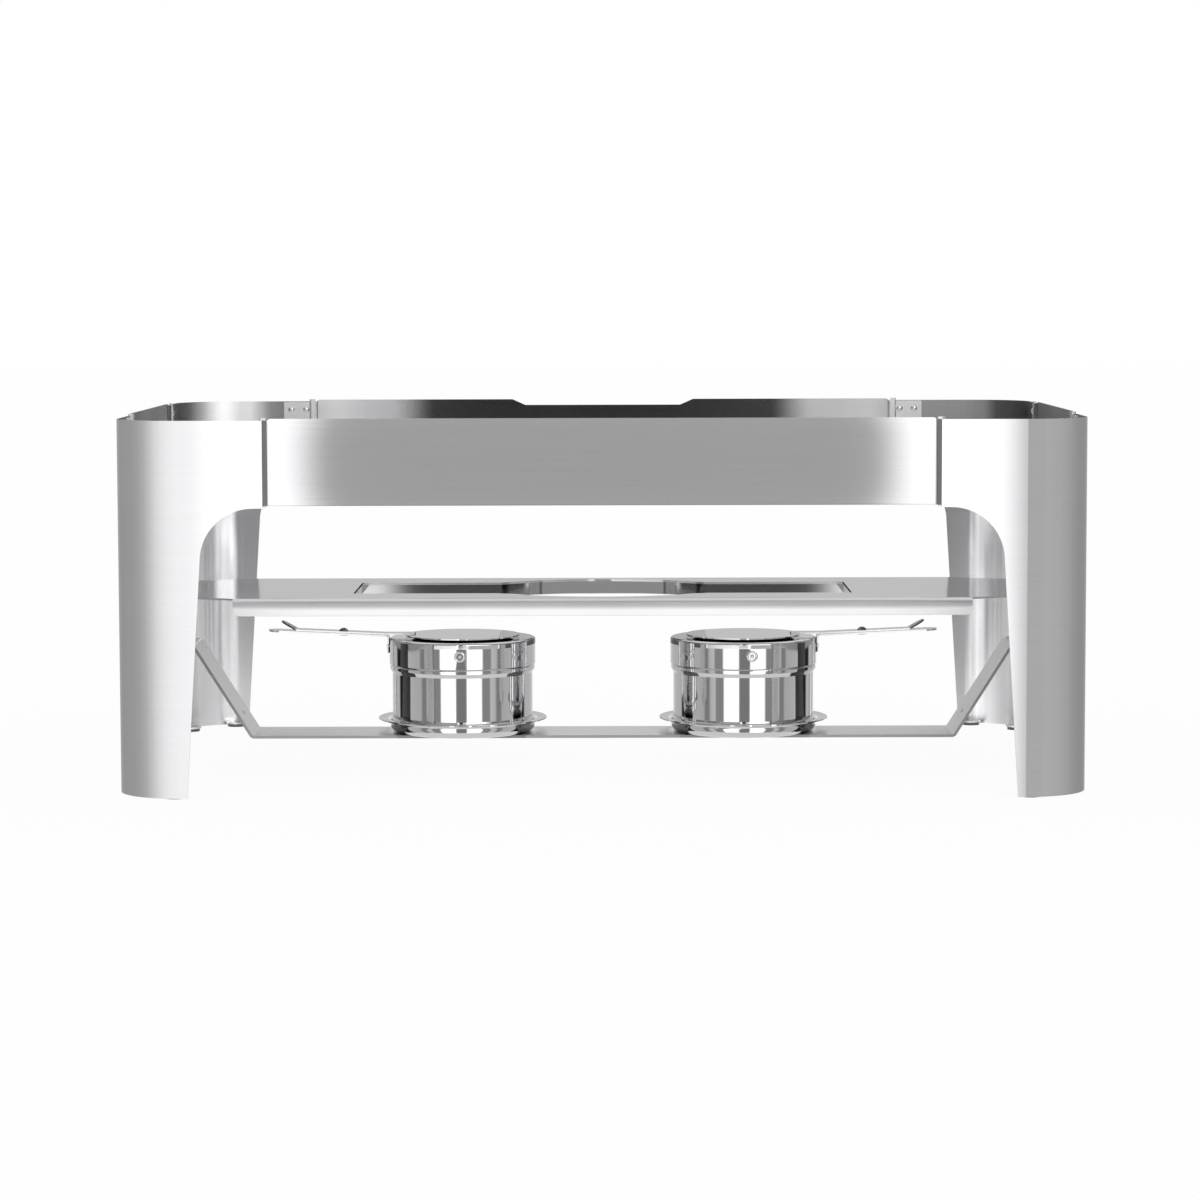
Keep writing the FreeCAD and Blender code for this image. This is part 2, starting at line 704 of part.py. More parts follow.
def make_handle():
    """The fixed handle of a burner that points along +X, with the burner at the origin."""
    face_x = WALL_FACE + HANDLE_SHEET
    path = [
        (face_x, HANDLE_TAB_BOTTOM),
        (face_x, handle_height(face_x) - HANDLE_SHEET),
        (HANDLE_END, handle_height(HANDLE_END) - HANDLE_SHEET),
    ]
    section = sheet_face(path, -HANDLE_SHEET, HANDLE_BEND)
    handle = across(section, -HANDLE_HALF_WIDTH, HANDLE_HALF_WIDTH)
    outline = strip_outline(0, HANDLE_END, HANDLE_HALF_WIDTH)
    handle = handle.common(upright(outline, 0, LEG_TOP))
    handle = handle.cut(pivot_hole(TIGHT_GAP))
    for hole in handle_rivet_holes():
        handle = handle.cut(hole)
    return handle


def handle_rivet_holes():
    radius = WELD_RIVET_SHANK + TIGHT_GAP
    return [side_hole(radius, place) for place in handle_rivet_places()]


def handle_rivet_places():
    return [vec(0, y, HANDLE_RIVET_Z) for y in (-HANDLE_RIVET_Y, HANDLE_RIVET_Y)]


def side_hole(radius, place):
    """A hole along +X from the burner's axis out through its wall."""
    return Part.makeCylinder(radius, COLLAR_RADIUS + DRILL_LENGTH, place, vec(1, 0, 0))


def wall_rivet(shank, tail, outer):
    """A rivet along +X from inside the burner's wall to the plane x = outer, without a head."""
    body = Part.makeCylinder(shank, outer - WALL_TAIL, vec(WALL_TAIL, 0), vec(1, 0))
    return body.fuse(Part.makeCylinder(tail, RIVET_TAIL, vec(WALL_TAIL, 0), vec(1, 0)))


def make_handle_rivets():
    outer = WALL_FACE + HANDLE_SHEET
    head = dome(WELD_RIVET_RADIUS, HANDLE_RIVET_DOME).rotated(vec(0, 0), vec(0, 1), 90)
    rivet = wall_rivet(WELD_RIVET_SHANK, RIVET_TAIL_RADIUS, outer)
    rivet = rivet.fuse(head.translated(vec(outer, 0)))
    return [rivet.translated(place) for place in handle_rivet_places()]


def eyelet_along_x():
    """A rolled eyelet through collar and cup: a round rim, a groove and a raised centre."""
    root = vec(WALL_FACE, 0)
    plane = vec(WALL_FACE + EYELET_FLANGE, 0)
    shank = wall_rivet(EYELET_SHANK, EYELET_TAIL_RADIUS, WALL_FACE)
    flange = Part.makeCylinder(EYELET_RADIUS, EYELET_FLANGE, root, vec(1, 0))
    rim = Part.makeTorus(EYELET_RADIUS - EYELET_ROLL, EYELET_ROLL, plane, vec(1, 0))
    rim = rim.common(Part.makeCylinder(2 * EYELET_RADIUS, 2 * EYELET_ROLL, root, vec(1, 0)))
    centre = dome(EYELET_CENTRE_RADIUS, EYELET_CENTRE_DOME).rotated(vec(0, 0), vec(0, 1), 90)
    face = rim.fuse(centre.translated(plane))
    return shank.fuse(flange).fuse(face).translated(vec(0, 0, EYELET_Z))


def make_eyelets(turn):
    """The front and rear eyelets, turned a little about the burner's axis."""
    stud = eyelet_along_x()
    return [stud.rotated(vec(0, 0), vec(0, 0, 1), angle + turn) for angle in (-90, 90)]


def eyelet_holes(turn):
    hole = side_hole(EYELET_SHANK + TIGHT_GAP, vec(0, 0, EYELET_Z))
    return [hole.rotated(vec(0, 0), vec(0, 0, 1), angle + turn) for angle in (-90, 90)]


def make_lid():
    return Part.makeCylinder(LID_RADIUS, LID_SHEET, vec(0, 0, LID_TOP - LID_SHEET))


def make_lever():
    """The lid lever: flat on the disc, over the handle, and turned up at its thumb end."""
    inner = handle_height(HANDLE_START) + LEVER_GAP
    outer = handle_height(LEVER_BEND_AT) + LEVER_GAP
    path = [
        (LEVER_START, LID_TOP),
        (HANDLE_START, inner),
        (LEVER_BEND_AT, outer),
        (LEVER_TIP, outer + LEVER_TIP_RISE),
    ]
    section = sheet_face(path, -LEVER_SHEET, LEVER_BEND)
    lever = across(section, -LEVER_HALF_WIDTH, LEVER_HALF_WIDTH)
    outline = strip_outline(0, LEVER_TIP, LEVER_HALF_WIDTH)
    lever = lever.common(upright(outline, 0, LEG_TOP))
    return lever.cut(pivot_hole(RUNNING_GAP))


def make_pivot_rivet():
    """The lid's pivot: fixed in the handle, with its head just clear of the lever."""
    top = LEVER_SHEET + 2 * LEVER_GAP
    shank = Part.makeCylinder(PIVOT_SHANK, top + HANDLE_SHEET, vec(0, 0, -HANDLE_SHEET))
    head = dome(PIVOT_HEAD_RADIUS, PIVOT_DOME).translated(vec(0, 0, top))
    low = vec(0, 0, -HANDLE_SHEET - PIVOT_TAIL)
    tail = Part.makeCylinder(PIVOT_TAIL_RADIUS, PIVOT_TAIL, low)
    return pivot_frame(shank.fuse(head).fuse(tail))


def burner_pieces(turn):
    """Every piece of a burner whose handle points along +X, by name."""
    cup = make_cup()
    collar = make_collar()
    for hole in eyelet_holes(turn) + handle_rivet_holes():
        cup = cup.cut(hole)
        collar = collar.cut(hole)
    return {
        "saucer": [make_saucer()],
        "burner_cup": [cup],
        "burner_collar": [collar],
        "burner_handle": [make_handle()],
        "handle_rivets": make_handle_rivets(),
        "collar_eyelets": make_eyelets(turn),
        "lid_disc": [make_lid()],
        "lid_lever": [make_lever()],
        "lid_pivot_rivet": [make_pivot_rivet()],
    }


# ---------------------------------------------------------------- assembly
def export_legs():
    leg = make_leg()
    pads = make_foot_pads()
    placings = {
        "front_left": lambda s: s,
        "front_right": mirrored_x,
        "rear_left": mirrored_y,
        "rear_right": lambda s: mirrored_x(mirrored_y(s)),
    }
    for corner, place in placings.items():
        export("leg_" + corner, place(leg))
        export("foot_pads_" + corner, *[place(pad) for pad in pads])


def export_panels():
    """Aprons, their pocket brackets, and the bracket rivets grouped by leg."""
    rivets = {}
    for panel in PANEL_ANGLE:
        export("apron_" + panel, make_apron(panel))
        seam = seam_of(panel)
        bracket = make_bracket(seam)
        studs = make_bracket_rivets(seam)
        for side, end in panel_ends(panel).items():
            hand = mirrored_x if side < 0 else (lambda s: s)
            export("bracket_" + panel + "_" + end, at_panel(hand(bracket), panel))
            long_side = panel in ("front", "rear")
            corner = panel + "_" + end if long_side else end + "_" + panel
            rivets.setdefault(corner, []).extend(at_panel(hand(stud), panel) for stud in studs)
    for corner, group in rivets.items():
        export("bracket_rivets_" + corner, *group)


def export_rails():
    for name, flange_top in (("upper_rail", SHELF_BOTTOM), ("lower_rail", STRAP_TAB_BOTTOM)):
        rail = make_rail(flange_top)
        for hole in strap_holes()[1:]:
            rail = rail.cut(hole) if name == "lower_rail" else rail
        export(name + "_right", rail)
        export(name + "_left", mirrored_x(rail))
    rivets = make_rail_rivets()
    export("rail_rivets_right", *rivets)
    export("rail_rivets_left", *[mirrored_x(rivet) for rivet in rivets])


def export_burners():
    for name, group in burner_pieces(EYELET_TURN_RIGHT).items():
        export(name + "_right", *[s.translated(vec(BURNER_X, 0)) for s in group])
    for name, group in burner_pieces(0).items():
        export(name + "_left", *[mirrored_x(s.translated(vec(BURNER_X, 0))) for s in group])


os.makedirs(OUT, exist_ok=True)
export_legs()
export_panels()
export_rails()
export("shelf", make_shelf())
export("burner_strap", make_strap())
export("strap_rivets", *make_strap_rivets())
export_burners()
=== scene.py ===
"""Looks of the chafing dish food warmer: polished and satin steel in a pale studio. Metres."""
import math

import bpy
from mathutils import Matrix, Vector


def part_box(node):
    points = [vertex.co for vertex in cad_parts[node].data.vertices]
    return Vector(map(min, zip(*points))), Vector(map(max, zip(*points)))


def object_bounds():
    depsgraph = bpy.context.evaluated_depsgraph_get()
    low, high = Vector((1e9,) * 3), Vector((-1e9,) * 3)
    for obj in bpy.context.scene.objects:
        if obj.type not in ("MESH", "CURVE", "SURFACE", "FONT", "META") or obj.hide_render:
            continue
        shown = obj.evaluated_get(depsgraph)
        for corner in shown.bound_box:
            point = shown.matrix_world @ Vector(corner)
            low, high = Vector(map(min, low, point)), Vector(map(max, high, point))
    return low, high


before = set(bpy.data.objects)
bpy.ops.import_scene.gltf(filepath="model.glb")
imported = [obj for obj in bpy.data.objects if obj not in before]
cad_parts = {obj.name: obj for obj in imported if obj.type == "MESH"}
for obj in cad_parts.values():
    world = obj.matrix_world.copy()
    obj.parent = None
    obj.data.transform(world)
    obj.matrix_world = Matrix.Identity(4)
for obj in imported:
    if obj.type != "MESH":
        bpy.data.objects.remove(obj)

CAD_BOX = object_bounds()

# ---- camera: where the stand is seen from ----
CAMERA_PLACE = Vector((0.0042, -2.3893, 0.3051))
CAMERA_TILT = 0.0841
CAMERA_ROLL = 0.0025
CAMERA_LENS = 110.697

# ---- studio: brightness by compass angle, 0 towards the camera and positive to the right ----
LOW_RING = [
    (-180, 0.50),
    (-137, 0.42),
    (-113, 0.47),
    (-97, 0.48),
    (-81, 0.54),
    (-68, 0.64),
    (-56, 0.83),
    (-44, 1.05),
    (-33, 1.20),
    (-21, 1.31),
    (-10, 1.36),
    (-8, 1.70),
    (9, 1.75),
    (12, 0.66),
    (66, 0.60),
    (88, 0.53),
    (102, 0.46),
    (119, 0.41),
    (142, 0.38),
    (180, 0.50),
]
HIGH_RING = [
    (-180, 0.60),
    (-140, 0.60),
    (-110, 0.30),
    (-50, 0.30),
    (-38, 0.60),
    (-6.4, 0.60),
    (-5.4, 3.60),
    (-4.8, 3.40),
    (-4.3, 1.00),
    (-3.9, 3.00),
    (-3.4, 3.00),
    (-3.0, 0.02),
    (2.7, 0.02),
    (3.1, 3.20),
    (3.9, 3.20),
    (4.3, 0.80),
    (6.0, 0.80),
    (9.0, 2.60),
    (36, 2.60),
    (52, 0.30),
    (110, 0.30),
    (140, 0.60),
    (180, 0.60),
]
# the drum's brightness by angle from the camera, the same to the left and to the right
BURNER_RING = [
    (0, 0.26),
    (8, 0.26),
    (10, 1.90),
    (32, 1.90),
    (35, 0.32),
    (47, 0.32),
    (49, 0.70),
    (57, 0.62),
    (60, 0.28),
    (67, 0.28),
    (70, 0.55),
    (95, 0.62),
    (98, 0.02),
    (122, 0.02),
    (126, 0.60),
    (150, 0.60),
    (180, 0.90),
]
BULGE_RING = [
    (0, 0.54),
    (55, 0.54),
    (58, 1.30),
    (61, 1.30),
    (64, 0.12),
    (150, 0.12),
    (180, 0.50),
]
CEILING_LEVEL = 0.95
GROUND_LEVEL = 0.85
ROOM_LEVEL = 0.95
# sine of the height above or below the horizon over which one level fades into the next
HORIZON_BAND = (-0.012, 0.012)
CEILING_BAND = (0.25, 0.85)
GROUND_BAND = (0.145, 0.34)

FLOOR_HALF = 12.0
FLOOR_PAINT = (0.9, 0.9, 0.9, 1)
FLOOR_GLOW_SHARE = 0.93
WHITE = (1, 1, 1, 1)

# the drum that gives the burners and the bulges of the flame opening their bands
SCREEN_RADIUS = 1.6
SCREEN_HEIGHTS = (-1.2, 1.0)
SCREEN_SIDES = 96
BURNER_REACH = 0.0485
BURNER_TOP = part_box("burner_collar_left")[1].z - 0.004
# half width, half depth and top of the bulges
BULGE_BOX = (0.067, 0.082, 0.1104)

# ---- painted reflections and painted shade on the legs' inner faces by place, as (share of the way from left to right, tone) ----
LEG_SPAN = 0.30
# height over which the painted tones of the legs' lower part give way to those of their top
LEG_TOP_BAND = (0.160, 0.205)
LEG_PAINTED_TONE = [
    (0.0, 1.5),
    (0.06, 1.5),
    (0.075, 0.9),
    (0.10, 0.9),
    (0.5, 0.9),
    (0.90, 0.80),
    (0.922, 0.88),
    (0.938, 1.5),
    (1.0, 1.5),
]
LEG_TOP_PAINTED_TONE = [
    (0.0, 0.16),
    (0.013, 0.16),
    (0.022, 0.40),
    (0.030, 0.90),
    (0.042, 1.56),
    (0.090, 1.56),
    (0.100, 1.10),
    (0.112, 0.55),
    (0.124, 0.45),
    (0.5, 0.45),
    (0.82, 0.52),
    (0.944, 0.52),
    (0.957, 0.22),
    (1.0, 0.22),
]

# ---- where the finish and the painted light and shade change on a piece ----
SKIN_DEPTH = 0.001
# height over which the painted shade along the aprons' lower edge fades out
PAINTED_HEM_RISE = 0.0008
# distances from the middle between which the painted reflection on the rear apron's inner face turns
# from dark to light
PAINTED_DARK_MIDDLE = (0.116, 0.147)
# below this height lie the shelf's skirts and the flange of its opening
SHELF_FLAT_Z = 0.1104
OPENING_HALF_DEPTH = 0.0820
OPENING_END_X = 0.12
# heights of the skirt's bend and of its lower edge, which carry painted highlight and painted shade, and
# distances out to its ends, which are painted lighter
SKIRT_BEND = (0.1082, 0.1036)
SKIRT_EDGE = (0.1010, 0.1017)
SKIRT_PAINTED_ENDS = (0.185, 0.245)
# from this distance out the lever tips are painted dark
LEVER_TIP_FROM = 0.1985
LEVER_TIP_FADE = 0.0015
# a face is a sheared edge where its direction points sideways by more than this
SHEARED = 0.9
MIRROR_ROUGHNESS = 0.05

# ---- grain directions and the tint of panel steel ----
UP = (0, 0, 1)
ACROSS = (1, 0, 0)
DEEP = (0, 1, 0)
AROUND = (1, 1, 0)
PANEL = (0.64, 0.64, 0.65)


class Graph:
    """Adds nodes to a shader tree; an input is given as a value or as another node's socket."""

    def __init__(self, tree):
        self.tree = tree
        tree.nodes.clear()

    def add(self, kind, inputs=None, out=0, **settings):
        node = self.tree.nodes.new(kind)
        for key, value in settings.items():
            setattr(node, key, value)
        for key, value in (inputs or {}).items():
            if isinstance(value, bpy.types.NodeSocket):
                self.tree.links.new(value, node.inputs[key])
            else:
                node.inputs[key].default_value = value
        return node.outputs[out]

    def math(self, operation, a, b=0.0, clamp=False):
        return self.add("ShaderNodeMath", {0: a, 1: b}, operation=operation, use_clamp=clamp)

    def mapped(self, value, low, high, new_low=0.0, new_high=1.0, shape="SMOOTHSTEP"):
        inputs = {"Value": value, 1: low, 2: high, 3: new_low, 4: new_high}
        return self.add("ShaderNodeMapRange", inputs, interpolation_type=shape)

    def mix(self, factor, a, b):
        inputs = {0: factor, 2: a, 3: b}
        return self.add("ShaderNodeMix", inputs, data_type="FLOAT")

    def split(self, vector):
        node = self.tree.nodes.new("ShaderNodeSeparateXYZ")
        self.tree.links.new(vector, node.inputs[0])
        return node.outputs

    def finish(self, shader, kind="ShaderNodeOutputMaterial"):
        self.tree.links.new(shader, self.tree.nodes.new(kind).inputs["Surface"])


# ---------------------------------------------------------------- studio
def table(g, share, pairs):
    """A value that runs straight between (share, value) pairs, with share from 0 to 1."""
    curve = g.tree.nodes.new("ShaderNodeFloatCurve")
    g.tree.links.new(share, curve.inputs["Value"])
    top = max(value for _, value in pairs)
    points = curve.mapping.curves[0].points
    while len(points) < len(pairs):
        points.new(0.5, 0.5)
    for point, (at, value) in zip(points, pairs):
        point.location = (at, value / top)
        point.handle_type = "VECTOR"
    curve.mapping.update()
    return g.math("MULTIPLY", curve.outputs[0], top)


def ring(g, share, levels):
    """Brightness round the horizon, straight between the (angle, level) pairs."""
    return table(g, share, [(angle / 360 + 0.5, level) for angle, level in levels])


def build_world():
    """A pale room for the camera and the floor, and graded soft boxes for what shines."""
    world = bpy.data.worlds.new("studio")
    world.use_nodes = True
    bpy.context.scene.world = world
    g = Graph(world.node_tree)
    x, y, z = g.split(g.add("ShaderNodeTexCoord", out=0))
    turn = g.math("ARCTAN2", x, g.math("MULTIPLY", y, -1.0))
    share = g.math("ADD", g.math("DIVIDE", turn, 2 * math.pi), 0.5)
    above = g.mapped(z, *HORIZON_BAND)
    around = g.mix(above, ring(g, share, LOW_RING), ring(g, share, HIGH_RING))
    up = g.mapped(z, *CEILING_BAND)
    down = g.mapped(g.math("MULTIPLY", z, -1.0), *GROUND_BAND)
    level = g.mix(down, g.mix(up, around, CEILING_LEVEL), GROUND_LEVEL)
    ray = g.tree.nodes.new("ShaderNodeLightPath")
    shiny = g.math("MAXIMUM", ray.outputs["Is Glossy Ray"], ray.outputs["Is Transmission Ray"])
    plain = g.mix(ray.outputs["Is Camera Ray"], ROOM_LEVEL, 1.0)
    strength = g.mix(shiny, plain, level)
    sky = g.add("ShaderNodeBackground", {"Color": WHITE, "Strength": strength})
    g.finish(sky, "ShaderNodeOutputWorld")


def build_camera():
    data = bpy.data.cameras.new("camera")
    data.lens = CAMERA_LENS
    data.clip_end = 50
    camera = bpy.data.objects.new("camera", data)
    bpy.context.scene.collection.objects.link(camera)
    roll = Matrix.Rotation(CAMERA_ROLL, 4, "Z")
    look = Matrix.Rotation(math.pi / 2 - CAMERA_TILT, 4, "X")
    camera.matrix_world = Matrix.Translation(CAMERA_PLACE) @ roll @ look @ roll.inverted()
    bpy.context.scene.camera = camera


def new_material(name):
    material = bpy.data.materials.new(name)
    material.use_nodes = True
    return material, Graph(material.node_tree)


def mesh_object(name, points, faces):
    mesh = bpy.data.meshes.new(name)
    mesh.from_pydata(points, [], faces)
    obj = bpy.data.objects.new(name, mesh)
    bpy.context.scene.collection.objects.link(obj)
    return obj


def build_floor():
    half = FLOOR_HALF
    corners = [(-half, -half, 0), (half, -half, 0), (half, half, 0), (-half, half, 0)]
    floor = mesh_object("floor", corners, [(0, 1, 2, 3)])
    material, g = new_material("floor_paint")
    lit = g.add("ShaderNodeBsdfDiffuse", {"Color": FLOOR_PAINT})
    glow = g.add("ShaderNodeEmission", {"Color": WHITE, "Strength": 1.0})
    g.finish(g.add("ShaderNodeMixShader", {0: FLOOR_GLOW_SHARE, 1: lit, 2: glow}))
    floor.data.materials.append(material)
    floor.visible_glossy = False


def hide_from_camera(obj):
    """Leaves a piece of the studio visible only in what shines."""
    obj.visible_camera = False
    obj.visible_diffuse = False
    obj.visible_shadow = False


def build_card(name, centre, half_width, half_height, rounding, fade, level):
    """A soft-edged panel behind the camera plane, seen only in what shines."""
    w, h = half_width + fade, half_height + fade
    corners = [(-w, 0, -h), (w, 0, -h), (w, 0, h), (-w, 0, h)]
    card = mesh_object(name, corners, [(0, 1, 2, 3)])
    card.location = centre
    material, g = new_material(name)
    x, _, z = g.split(g.add("ShaderNodeTexCoord", out=3))
    dx = g.math("MAXIMUM", g.math("SUBTRACT", g.math("ABSOLUTE", x), half_width - rounding), 0.0)
    dz = g.math("MAXIMUM", g.math("SUBTRACT", g.math("ABSOLUTE", z), half_height - rounding), 0.0)
    reach = g.math("SQRT", g.math("ADD", g.math("MULTIPLY", dx, dx), g.math("MULTIPLY", dz, dz)))
    edge = g.mapped(reach, rounding - fade, rounding + fade)
    glow = g.add("ShaderNodeEmission", {"Color": WHITE, "Strength": level})
    clear = g.add("ShaderNodeBsdfTransparent")
    g.finish(g.add("ShaderNodeMixShader", {0: edge, 1: glow, 2: clear}))
    card.data.materials.append(material)
    hide_from_camera(card)


def near_burner(g, start, axis_x):
    """1 where a ray starts on the burner that stands at axis_x."""
    x, y, z = g.split(start)
    aside = g.math("SUBTRACT", x, axis_x)
    reach = g.math("ADD", g.math("MULTIPLY", aside, aside), g.math("MULTIPLY", y, y))
    inside = g.math("LESS_THAN", reach, BURNER_REACH ** 2)
    return g.math("MULTIPLY", inside, g.math("LESS_THAN", z, BURNER_TOP))


def near_bulge(g, start):
    """1 where a ray starts on the rounded middle of the flange round the flame opening."""
    x, y, z = g.split(start)
    zone = g.math("LESS_THAN", z, BULGE_BOX[2])
    zone = g.math("MULTIPLY", zone, g.math("GREATER_THAN", z, BURNER_TOP))
    zone = g.math("MULTIPLY", zone, g.math("LESS_THAN", g.math("ABSOLUTE", x), BULGE_BOX[0]))
    return g.math("MULTIPLY", zone, g.math("LESS_THAN", g.math("ABSOLUTE", y), BULGE_BOX[1]))


def build_screen():
    """A drum round the set that only the burners and the flame opening mirror, in crisp bands."""
    turns = [2 * math.pi * i / SCREEN_SIDES for i in range(SCREEN_SIDES)]
    points = []
    for height in SCREEN_HEIGHTS:
        points += [(SCREEN_RADIUS * math.sin(t), SCREEN_RADIUS * math.cos(t), height) for t in turns]
    following = [(i + 1) % SCREEN_SIDES for i in range(SCREEN_SIDES)]
    faces = [(i, n, SCREEN_SIDES + n, SCREEN_SIDES + i) for i, n in enumerate(following)]
    screen = mesh_object("band_screen", points, faces)
    material, g = new_material("band_screen")
    geometry = g.tree.nodes.new("ShaderNodeNewGeometry")
    place, back = geometry.outputs["Position"], geometry.outputs["Incoming"]
    length = g.tree.nodes.new("ShaderNodeLightPath").outputs["Ray Length"]
    start = g.add("ShaderNodeVectorMath", {0: back, 1: length, 2: place}, operation="MULTIPLY_ADD")
    x, y, _ = g.split(back)
    turn = g.math("ARCTAN2", g.math("ABSOLUTE", x), y)
    share = g.math("ADD", g.math("DIVIDE", turn, 2 * math.pi), 0.5)
    bulge = near_bulge(g, start)
    level = g.mix(bulge, ring(g, share, BURNER_RING), ring(g, share, BULGE_RING))
    burner = g.math("MAXIMUM", *(near_burner(g, start, axis) for axis in burner_axes()))
    zone = g.math("MAXIMUM", burner, bulge)
    glow = g.add("ShaderNodeEmission", {"Color": WHITE, "Strength": level})
    clear = g.add("ShaderNodeBsdfTransparent")
    g.finish(g.add("ShaderNodeMixShader", {0: zone, 1: clear, 2: glow}))
    screen.data.materials.append(material)
    hide_from_camera(screen)


def burner_axes():
    """X of the left and right burner's centre."""
    return [sum(corner.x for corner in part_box("burner_cup_" + side)) / 2 for side in ("left", "right")]


def build_studio():
    build_world()
    build_camera()
    build_floor()
    behind = CAMERA_PLACE.y
    build_card("apron_card", (-0.006, behind, 0.10), 0.352, 0.092, 0.07, 0.028, 0.515)
    build_card("opening_card", (0.006, behind, -0.092), 0.288, 0.06, 0.03, 0.026, 0.115)
    build_card("left_card", (-0.6315, behind, -0.1), 0.1485, 0.45, 0.06, 0.018, 1.37)
    build_card("right_card", (1.193, behind, -0.1), 0.70, 0.45, 0.06, 0.022, 0.61)
    build_screen()


# ---------------------------------------------------------------- steel
def grain_tangent(g, direction):
    """The tangent that spreads highlights across a grain running along direction."""
    if direction == AROUND:
        return g.add("ShaderNodeCombineXYZ", {2: 1.0})
    normal = g.add("ShaderNodeNewGeometry", out=1)
    return g.add("ShaderNodeVectorMath", {0: normal, 1: direction}, operation="CROSS_PRODUCT")


def steel(name, tint, rough, spread, grain, grain_scale, bump, finish=None):
    """Steel with a directional grain, cloudy polish and faint scratches.

    grain is the direction of the brushing, and grain_scale the streaks per metre across it.
    finish may change the roughness and spread, and may paint light and shade into the colour, where the
    piece needs it.
    """
    material, g = new_material(name)
    place = g.add("ShaderNodeTexCoord", out=3)
    along = [0.015 if component else 1.0 for component in grain]
    stretched = g.add("ShaderNodeMapping", {"Vector": place, "Scale": along})
    streaks = g.add("ShaderNodeTexNoise", {"Vector": stretched, "Scale": grain_scale, "Detail": 3.0})
    clouds = g.add("ShaderNodeTexNoise", {"Vector": place, "Scale": 14.0, "Detail": 4.0})
    smudge = g.mapped(clouds, 0.42, 0.72)
    shade = g.mix(streaks, 0.97, 1.03)
    shade = g.math("MULTIPLY", shade, g.mix(smudge, 1.0, 0.98))
    if finish:
        rough, spread, shade = finish(g, place, rough, spread, shade)
    colour = g.add("ShaderNodeVectorMath", {0: tint, 3: shade}, operation="SCALE")
    polish = g.math("MULTIPLY", g.mix(smudge, 0.95, 1.10), g.mix(streaks, 0.95, 1.05))
    height = g.add("ShaderNodeBump", {"Strength": bump, "Distance": 0.0001, "Height": streaks})
    inputs = {
        "Base Color": colour,
        "Metallic": 1.0,
        "Roughness": g.math("MULTIPLY", polish, rough),
        "Anisotropic": spread,
        "Tangent": grain_tangent(g, grain),
        "Normal": height,
    }
    g.finish(g.add("ShaderNodeBsdfPrincipled", inputs))
    return material


def outward(g, place):
    """How far out a face lies, measured along its own direction; negative on inner faces."""
    normal = g.add("ShaderNodeNewGeometry", out=1)
    flat = g.add("ShaderNodeVectorMath", {0: place, 1: (1, 1, 0)}, operation="MULTIPLY")
    return g.add("ShaderNodeVectorMath", {0: flat, 1: normal}, out=1, operation="DOT_PRODUCT")


def leg_finish(g, place, rough, spread, tint):
    """Outer faces are mirror polished; inner ones are brushed, with painted reflections and painted
    shade by place, darker between the aprons.
    """
    outside = g.math("GREATER_THAN", outward(g, place), 0.0)
    x, _, z = g.split(place)
    share = g.mapped(x, -LEG_SPAN, LEG_SPAN, shape="LINEAR")
    top = g.mapped(z, LEG_TOP_BAND[0], LEG_TOP_BAND[1])
    # painted reflections and painted shade on the inner faces, by place along the stand
    painted_tone = g.mix(top, table(g, share, LEG_PAINTED_TONE), table(g, share, LEG_TOP_PAINTED_TONE))
    shade = g.mix(outside, painted_tone, 1.0)
    rough = g.mix(top, rough, 0.5)
    spread = g.mix(top, spread, 0.3)
    rough = g.mix(outside, rough, MIRROR_ROUGHNESS)
    return rough, g.mix(outside, spread, 0.0), g.math("MULTIPLY", tint, shade)


def apron_finish(half, hem_z, inner_painted_shade, painted_dark_middle=False):
    """Mirror polish outside with a painted dark line of shade along the lower hem, and painted shade on
    the dull inner face and on the tongues.

    half is how far out the skin of this apron lies, and hem_z the height of its lower edge.
    """

    def finish(g, place, rough, spread, tint):
        reach = outward(g, place)
        skin = g.math("GREATER_THAN", reach, half - SKIN_DEPTH)
        tongue = g.math("SUBTRACT", g.math("GREATER_THAN", reach, 0.0), skin)
        x, _, z = g.split(place)
        # painted shade on the inner face; on the rear apron a painted reflection, dark in the middle and
        # lighter at both ends
        painted_inner = inner_painted_shade
        if painted_dark_middle:
            painted_inner = g.mapped(g.math("ABSOLUTE", x), *PAINTED_DARK_MIDDLE, 0.13, 1.12)
        # painted shade: a dark line along the lower edge, and dark tongues in the seams
        painted_hem = g.mapped(z, hem_z, hem_z + PAINTED_HEM_RISE, 0.6, 1.0)
        shade = g.mix(skin, g.mix(tongue, painted_inner, 0.22), painted_hem)
        return g.mix(skin, rough, 0.055), g.mix(skin, spread, 0.0), g.math("MULTIPLY", tint, shade)

    return finish


